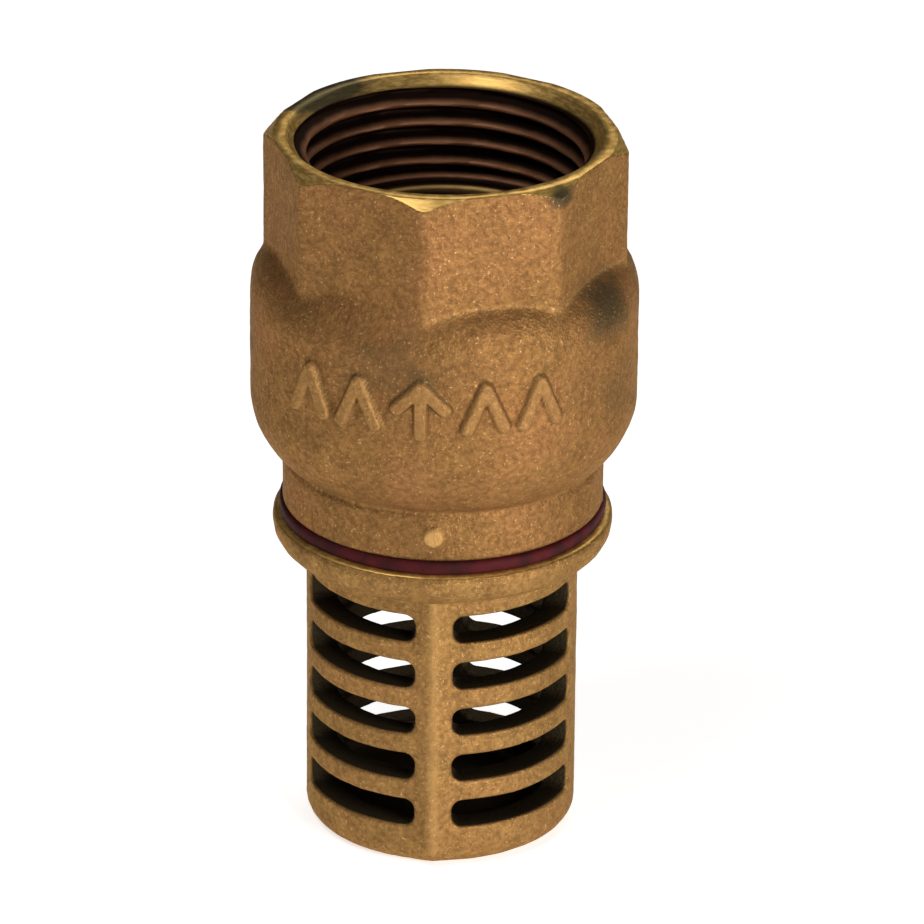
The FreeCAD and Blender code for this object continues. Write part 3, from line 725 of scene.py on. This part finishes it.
def join_meshes(name, meshes):
    """Weld plain meshes into one, keeping their shared attributes."""
    shape = bmesh.new()
    for mesh in meshes:
        shape.from_mesh(mesh)
    joined = bpy.data.meshes.new(name)
    shape.to_mesh(joined)
    shape.free()
    return joined


def add_zones(mesh, zones):
    """Store a float attribute for each zone, worked out from the points' distance out and height."""
    points = np.zeros(len(mesh.vertices) * 3)
    mesh.vertices.foreach_get("co", points)
    x, y, z = points.reshape(-1, 3).T
    for label, rule in zones.items():
        attribute = mesh.attributes.get(label) or mesh.attributes.new(label, "FLOAT", "POINT")
        values = rule(np.hypot(x, y), z, x, y)
        attribute.data.foreach_set("value", np.ascontiguousarray(values, dtype=np.float32))


# The last two colours are painted shade: near black towards the cage floor, dark brown on the slots' walls
# and the inner wall.
strainer_bronze = cast_bronze("cast_bronze_strainer", (0.305, 0.166, 0.055), (0.405, 0.230, 0.074),
                              (0.410, 0.215, 0.074), (0.020, 0.018, 0.010), (0.055, 0.040, 0.021))
cell_mesh, quarter_columns = slot_cell()
cage_mesh = bake_tree(cell_mesh, cage_tree(), material=strainer_bronze)
cage_bearings = np.concatenate([
    quarter_columns[:-1],
    math.pi - quarter_columns[:0:-1],
    math.pi + quarter_columns[:-1],
    2 * math.pi - quarter_columns[:0:-1],
])
cage_foot = FIRST_SLOT - SLOT_PITCH / 2
cage_head = cage_foot + SLOT_ROWS * SLOT_PITCH
fold = np.minimum(cage_bearings % math.pi, math.pi - cage_bearings % math.pi)
edge_turns = [math.radians(a) for a in (0, 15, 30, 45, 60, 75, 90)]
foot_outline = [(CAGE_RADIUS, cage_foot, 1.0), (CAGE_RADIUS, 0.0030, 1.0)]
foot_outline += [(CAGE_RADIUS - CAGE_EDGE * (1 - math.cos(a)), CAGE_EDGE * (1 - math.sin(a)), 1 - a / 1.9)
                 for a in edge_turns]
foot_outline += [(r, 0.0, 0.0) for r in (0.0115, 0.0090, 0.0065, 0.0040, 0.0018, 0.0)]
floor_outline = [(CAGE_INSIDE, cage_foot, 0.0), (CAGE_INSIDE, CAGE_FLOOR + 0.0006, 0.0),
                 (CAGE_INSIDE - 0.0006, CAGE_FLOOR, 0.0)]
floor_outline += [(r, CAGE_FLOOR, 0.0) for r in (0.0090, 0.0060, 0.0030, 0.0)]
flange_turns = [math.radians(a) for a in (0, 18, 36, 54, 72, 90)]
head_outline = [(CAGE_RADIUS, cage_head, 1.0), (CAGE_RADIUS, FLANGE_LOW - CAGE_FILLET, 1.0),
                (CAGE_RADIUS + 0.00015, FLANGE_LOW - 0.00015, 0.8),
                (CAGE_RADIUS + CAGE_FILLET, FLANGE_LOW, 0.5)]
head_outline += [(FLANGE_RADIUS - FLANGE_ROUND * (1 - math.sin(a)),
                  FLANGE_LOW + FLANGE_ROUND * (1 - math.cos(a)), 0.4) for a in flange_turns]
head_outline += [(FLANGE_RADIUS, FLANGE_HIGH - 0.0008, 0.4),
                 (FLANGE_RADIUS - 0.00008, FLANGE_HIGH - 0.0003, 0.2),
                 (FLANGE_RADIUS - 0.0003, FLANGE_HIGH - 0.00007, 0.0),
                 (FLANGE_RADIUS - 0.0006, FLANGE_HIGH, 0.0)]
head_outline += [(r, FLANGE_HIGH, 0.0) for r in (0.0170, SPIGOT_RADIUS + 0.0004)]
head_outline += [(SPIGOT_RADIUS, z, 0.0) for z in np.linspace(FLANGE_HIGH + 0.0003, SPIGOT_TOP - 0.0007, 6)]
head_outline += [(SPIGOT_RADIUS - 0.0007, SPIGOT_TOP, 0.0), (SEAT_OUTSIDE, SPIGOT_TOP, 0.0),
                 (SEAT_OUTSIDE, SEAT_TOP - 0.0001, 0.0), (SEAT_OUTSIDE - 0.0001, SEAT_TOP, 0.0),
                 (SEAT_BORE + 0.0002, SEAT_TOP, 0.0), (SEAT_BORE, SEAT_TOP - 0.0002, 0.0),
                 (SEAT_BORE, 0.0420, 0.0), (CAGE_INSIDE, 0.0404, 0.0), (CAGE_INSIDE, 0.0365, 0.0),
                 (CAGE_INSIDE, cage_head, 0.0)]
turned_meshes = []
for outline in (foot_outline, floor_outline, head_outline):
    profile = np.array(outline)
    ridge = keel(fold)[None, :] * profile[:, 2:3]
    turned_meshes.append(ring_mesh("turned", profile[:, 0:1] + ridge, profile[:, 1:2] + 0 * ridge,
                                   cage_bearings, False))
strainer_mesh = join_meshes("strainer_casting", [cage_mesh, *turned_meshes])
strainer_mesh.transform(Matrix.Rotation(STRAINER_TURN, 4, "Z"))
tidy_mesh(strainer_mesh, 2e-6)
add_zones(strainer_mesh, {
    "machined": lambda out, z, x, y: (z > FLANGE_HIGH - 0.0002) * 1.0,
    "cast": lambda out, z, x, y: (z < FLANGE_HIGH - 0.0004) * (z > 1e-5) * 1.0,
    # Painted shade: the slots' walls and the cage's inner wall go dark a little inside the outer face.
    "inside": lambda out, z, x, y: (
        (1 - smooth_step(CAGE_RADIUS - 0.00036, CAGE_RADIUS - 0.00006, out))
        * (z < FLANGE_LOW) * (z > 0.0024)),
    "wear_and_highlight": lambda out, z, x, y: (
        smooth_step(CAGE_RADIUS + 0.00055, CAGE_RADIUS + 0.0008, out) * (z < FLANGE_LOW) * 0.9),
    # Painted shade: the inside darker towards the cage floor.
    "tarnish_and_shade": lambda out, z, x, y: 0.35 * smooth_step(0.0045, 0.0, z) * (out < CAGE_RADIUS - 0.0004),
})
strainer_mesh = bake_tree(strainer_mesh, cast_skin, seed=11.0, material=strainer_bronze)
new_piece("strainer_casting", strainer_mesh, None, "housing", "cast_strainer", "strainer", sharp=50)

# ---------------------------------------------------------------------------------------------
# Body gasket. A thin dark red fibre ring, squeezed between the flange and the collar, so that its
# outer edge bulges a little and isn't quite round.
# ---------------------------------------------------------------------------------------------
gasket_low, gasket_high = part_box("body_gasket")
GASKET_OUTSIDE = gasket_high.x
GASKET_INSIDE = 0.0147


def gasket_material():
    material, tree, surface = new_material("red_fibre")
    tone = ramp(tree, noise_at(tree, 0.0025, 3.0), 0.35, 0.7)
    red = colour_mix(tree, tone, (0.038, 0.003, 0.004), (0.082, 0.005, 0.007))
    tree.links.new(red, surface.inputs["Base Color"])
    surface.inputs["Roughness"].default_value = 0.70
    surface.inputs["Specular IOR Level"].default_value = 0.20
    bump = node(tree, "ShaderNodeBump")
    bump.inputs["Strength"].default_value = 0.5
    bump.inputs["Distance"].default_value = 0.00012
    tree.links.new(noise_at(tree, 0.0006, 3.0), bump.inputs["Height"])
    tree.links.new(bump.outputs[0], surface.inputs["Normal"])
    return material


gasket_bearings = np.linspace(0, 2 * math.pi, 240, endpoint=False)
wander = 0.00010 * np.sin(3 * gasket_bearings + 0.6) + 0.00006 * np.sin(7 * gasket_bearings + 2.0)
bulges = [math.radians(a) for a in (-90, -60, -30, 0, 30, 60, 90)]
gasket_middle, gasket_half = (gasket_low.z + gasket_high.z) / 2, (gasket_high.z - gasket_low.z) / 2
gasket_radii = [GASKET_INSIDE + 0 * wander]
gasket_heights = [gasket_low.z + 0 * wander]
for bulge in bulges:
    gasket_radii.append(GASKET_OUTSIDE - 0.0003 + 0.0003 * math.cos(bulge) + wander)
    gasket_heights.append(gasket_middle + gasket_half * math.sin(bulge) + 0 * wander)
gasket_radii.append(GASKET_INSIDE + 0 * wander)
gasket_heights.append(gasket_high.z + 0 * wander)
gasket_mesh = ring_mesh("gasket_ring", np.array(gasket_radii), np.array(gasket_heights),
                        gasket_bearings, True)
tidy_mesh(gasket_mesh)
new_piece("gasket_ring", gasket_mesh, gasket_material(), "housing", "gasket", "body_gasket")

# ---------------------------------------------------------------------------------------------
# Closing spring. Stainless wire in seven coils with closed ends, between the loose washer and the
# guide.
# ---------------------------------------------------------------------------------------------
spring_low, spring_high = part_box("closing_spring")
WIRE_RADIUS = 0.00035
COIL_TURNS = 7


def steel(name, colour, grain, rough):
    """Bright steel or brass stock with fine drawn or turned lines."""
    material, tree, surface = new_material(name)
    lines = noise_at(tree, grain, 3.0, 0.6, (0.2, 0.2, 1))
    dull = tuple(channel * 0.72 for channel in colour)
    tree.links.new(colour_mix(tree, ramp(tree, lines, 0.35, 0.7), dull, colour), surface.inputs["Base Color"])
    tree.links.new(node(tree, "ShaderNodeMapRange", lines, 0.3, 0.7, rough * 0.8, rough * 1.3).outputs[0],
                   surface.inputs["Roughness"])
    surface.inputs["Metallic"].default_value = 1.0
    bump = node(tree, "ShaderNodeBump")
    bump.inputs["Strength"].default_value = 0.25
    bump.inputs["Distance"].default_value = 0.00005
    tree.links.new(lines, bump.inputs["Height"])
    tree.links.new(bump.outputs[0], surface.inputs["Normal"])
    return material


def coil_tree():
    """Winds a wire round the axis. The first and last turns lie flat, and the others climb evenly."""
    tree, given, result = make_tree("coil", {
        "Turns": ("Float", COIL_TURNS),
        "Mean Radius": ("Float", 0.005),
        "Wire Radius": ("Float", WIRE_RADIUS),
        "Foot": ("Float", 0.0),
        "Rise": ("Float", 0.01),
        "Points": ("Int", 360),
        "Material": ("Material", None),
    })
    line = node(tree, "GeometryNodeCurvePrimitiveLine")
    fine = tree.nodes.new("GeometryNodeResampleCurve")
    tree.links.new(line.outputs[0], fine.inputs["Curve"])
    tree.links.new(given.outputs["Points"], fine.inputs["Count"])
    share = tree.nodes.new("GeometryNodeSplineParameter").outputs["Factor"]
    angle = maths(tree, "MULTIPLY", maths(tree, "MULTIPLY", share, given.outputs["Turns"]), 2 * math.pi)
    flat = maths(tree, "DIVIDE", 0.85, given.outputs["Turns"])
    last_flat = maths(tree, "SUBTRACT", 1.0, flat)
    climb = node(tree, "ShaderNodeMapRange", share, flat, last_flat, 0.0, 1.0).outputs[0]
    closed_rise = maths(tree, "MULTIPLY", given.outputs["Wire Radius"], 2.2)
    pitch_share = maths(tree, "DIVIDE", closed_rise, given.outputs["Rise"])
    low_end = node(tree, "ShaderNodeMapRange", share, 0.0, flat, 0.0, pitch_share).outputs[0]
    high_end = node(tree, "ShaderNodeMapRange", share, last_flat, 1.0, 0.0, pitch_share).outputs[0]
    free = maths(tree, "SUBTRACT", 1.0, maths(tree, "MULTIPLY", pitch_share, 2.0))
    level = maths(tree, "ADD", maths(tree, "ADD", low_end, high_end), maths(tree, "MULTIPLY", climb, free))
    z = maths(tree, "ADD", given.outputs["Foot"], maths(tree, "MULTIPLY", level, given.outputs["Rise"]))
    x = maths(tree, "MULTIPLY", maths(tree, "COSINE", angle), given.outputs["Mean Radius"])
    y = maths(tree, "MULTIPLY", maths(tree, "SINE", angle), given.outputs["Mean Radius"])
    point = node(tree, "ShaderNodeCombineXYZ", x, y, z).outputs[0]
    wound = node(tree, "GeometryNodeSetPosition", fine.outputs[0], None, point)
    circle = tree.nodes.new("GeometryNodeCurvePrimitiveCircle")
    circle.inputs["Resolution"].default_value = 12
    tree.links.new(given.outputs["Wire Radius"], circle.inputs["Radius"])
    wire = tree.nodes.new("GeometryNodeCurveToMesh")
    tree.links.new(wound.outputs[0], wire.inputs["Curve"])
    tree.links.new(circle.outputs[0], wire.inputs["Profile Curve"])
    wire.inputs["Fill Caps"].default_value = True
    real = node(tree, "GeometryNodeRealizeInstances", wire.outputs[0])
    painted = node(tree, "GeometryNodeSetMaterial", real.outputs[0], None, given.outputs["Material"])
    tree.links.new(painted.outputs[0], result.inputs[0])
    return tree


spring_steel = steel("spring_steel", (0.60, 0.60, 0.58), 0.0006, 0.28)
mean_radius = spring_high.x - WIRE_RADIUS
spring_mesh = bake_tree(bpy.data.meshes.new("coil_seed"), coil_tree(), mean_radius=mean_radius,
                        foot=spring_low.z + WIRE_RADIUS, rise=spring_high.z - spring_low.z - 2 * WIRE_RADIUS,
                        material=spring_steel)
tidy_mesh(spring_mesh)
spring_coil = new_piece("spring_coil", spring_mesh, None, "housing", "spring_wire", "closing_spring")
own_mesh(spring_coil)

# ---------------------------------------------------------------------------------------------
# Guide, poppet and their small parts. These turned and pressed pieces keep their CAD shapes and
# take turned brass, stainless steel, off-white plastic and black nitrile finishes.
# ---------------------------------------------------------------------------------------------


def moulded(name, dark, light, rough, size):
    """Moulded plastic or rubber with a faint grain."""
    material, tree, surface = new_material(name)
    tone = ramp(tree, noise_at(tree, size, 3.0), 0.35, 0.7)
    tree.links.new(colour_mix(tree, tone, dark, light), surface.inputs["Base Color"])
    surface.inputs["Roughness"].default_value = rough
    bump = node(tree, "ShaderNodeBump")
    bump.inputs["Strength"].default_value = 0.3
    bump.inputs["Distance"].default_value = 0.00005
    tree.links.new(noise_at(tree, size / 4, 2.0), bump.inputs["Height"])
    tree.links.new(bump.outputs[0], surface.inputs["Normal"])
    return material


brass = steel("turned_brass", (0.74, 0.54, 0.24), 0.0005, 0.32)
stainless = steel("stainless", (0.62, 0.61, 0.59), 0.0004, 0.26)
acetal = moulded("off_white_acetal", (0.66, 0.65, 0.60), (0.78, 0.77, 0.72), 0.45, 0.0030)
nitrile = moulded("black_nitrile", (0.012, 0.012, 0.012), (0.028, 0.028, 0.027), 0.60, 0.0020)
for name, finish in {
    "guide_spider": brass, "poppet_disc": brass, "guide_bush": acetal, "disc_seal": nitrile,
    "spring_washer": stainless, "poppet_stem": stainless, "seal_washer": stainless,
    "lock_washer": stainless, "retaining_nut": stainless,
}.items():
    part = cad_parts[name]
    part.data.materials.clear()
    part.data.materials.append(finish)

# ---------------------------------------------------------------------------------------------
# Stand and studio: a pale floor, a large soft light from the front right, a smaller one from the
# upper left that reaches into the mouth, one behind, and a long lens that looks down at the valve.
# ---------------------------------------------------------------------------------------------
FLOOR_HALF, FLOOR_HEIGHT = 3.0, -0.0001
floor_mesh = bpy.data.meshes.new("studio_floor")
floor_corners = [(x * FLOOR_HALF, y * FLOOR_HALF, FLOOR_HEIGHT)
                 for x, y in ((-1, -1), (1, -1), (1, 1), (-1, 1))]
floor_mesh.from_pydata(floor_corners, [], [(0, 1, 2, 3)])
studio_floor = bpy.data.objects.new("studio_floor", floor_mesh)
bpy.context.scene.collection.objects.link(studio_floor)
floor_paint, _, floor_surface = new_material("pale_floor")
floor_surface.inputs["Base Color"].default_value = (0.93, 0.93, 0.93, 1)
floor_surface.inputs["Roughness"].default_value = 0.9
floor_surface.inputs["Emission Color"].default_value = (1, 1, 1, 1)
floor_surface.inputs["Emission Strength"].default_value = 0.66
floor_mesh.materials.append(floor_paint)

middle = Vector((0, 0, (cad_low.z + cad_high.z) / 2))


def from_view(azimuth, elevation):
    """The direction from the valve towards a point at that azimuth and elevation, in degrees."""
    a, e = math.radians(azimuth), math.radians(elevation)
    return Vector((math.sin(a) * math.cos(e), -math.cos(a) * math.cos(e), math.sin(e)))


def softbox(name, azimuth, elevation, distance, size, power, colour=(1, 1, 1)):
    light = bpy.data.lights.new(name, "AREA")
    light.shape = "RECTANGLE"
    light.size, light.size_y = size
    light.energy = power
    light.color = colour
    lamp = bpy.data.objects.new(name, light)
    direction = from_view(azimuth, elevation)
    lamp.location = middle + direction * distance
    lamp.rotation_euler = (-direction).to_track_quat("-Z", "Y").to_euler()
    bpy.context.scene.collection.objects.link(lamp)


softbox("key_light", 45, 13, 0.60, (0.26, 0.34), 2.45, (1.0, 0.985, 0.96))
softbox("top_light", -40, 60, 0.60, (0.26, 0.26), 1.0)
softbox("back_light", 165, 46, 0.70, (0.50, 0.20), 1.0)

world = bpy.data.worlds.new("studio")
bpy.context.scene.world = world
world.use_nodes = True
world.node_tree.nodes["Background"].inputs["Color"].default_value = (1, 1, 1, 1)
world.node_tree.nodes["Background"].inputs["Strength"].default_value = 0.03

VIEW_AZIMUTH, VIEW_ELEVATION, VIEW_DISTANCE, VIEW_ROLL = 6.4, 24.7, 0.85, math.radians(0.55)
lens = bpy.data.cameras.new("camera")
lens.lens = 299.4
lens.sensor_width = 36.0
lens.clip_start = 0.05
camera = bpy.data.objects.new("camera", lens)
back = from_view(VIEW_AZIMUTH, VIEW_ELEVATION)
rightward = Vector((math.cos(math.radians(VIEW_AZIMUTH)), math.sin(math.radians(VIEW_AZIMUTH)), 0))
aim_point = Vector((0, 0, 0.0425)) + rightward * 0.0021
camera.location = aim_point + back * VIEW_DISTANCE
camera.rotation_mode = "QUATERNION"
roll = Matrix.Rotation(VIEW_ROLL, 4, "Z").to_quaternion()
camera.rotation_quaternion = (-back).to_track_quat("-Z", "Y") @ roll
bpy.context.scene.collection.objects.link(camera)
bpy.context.scene.camera = camera
bpy.context.scene.view_settings.view_transform = "Standard"
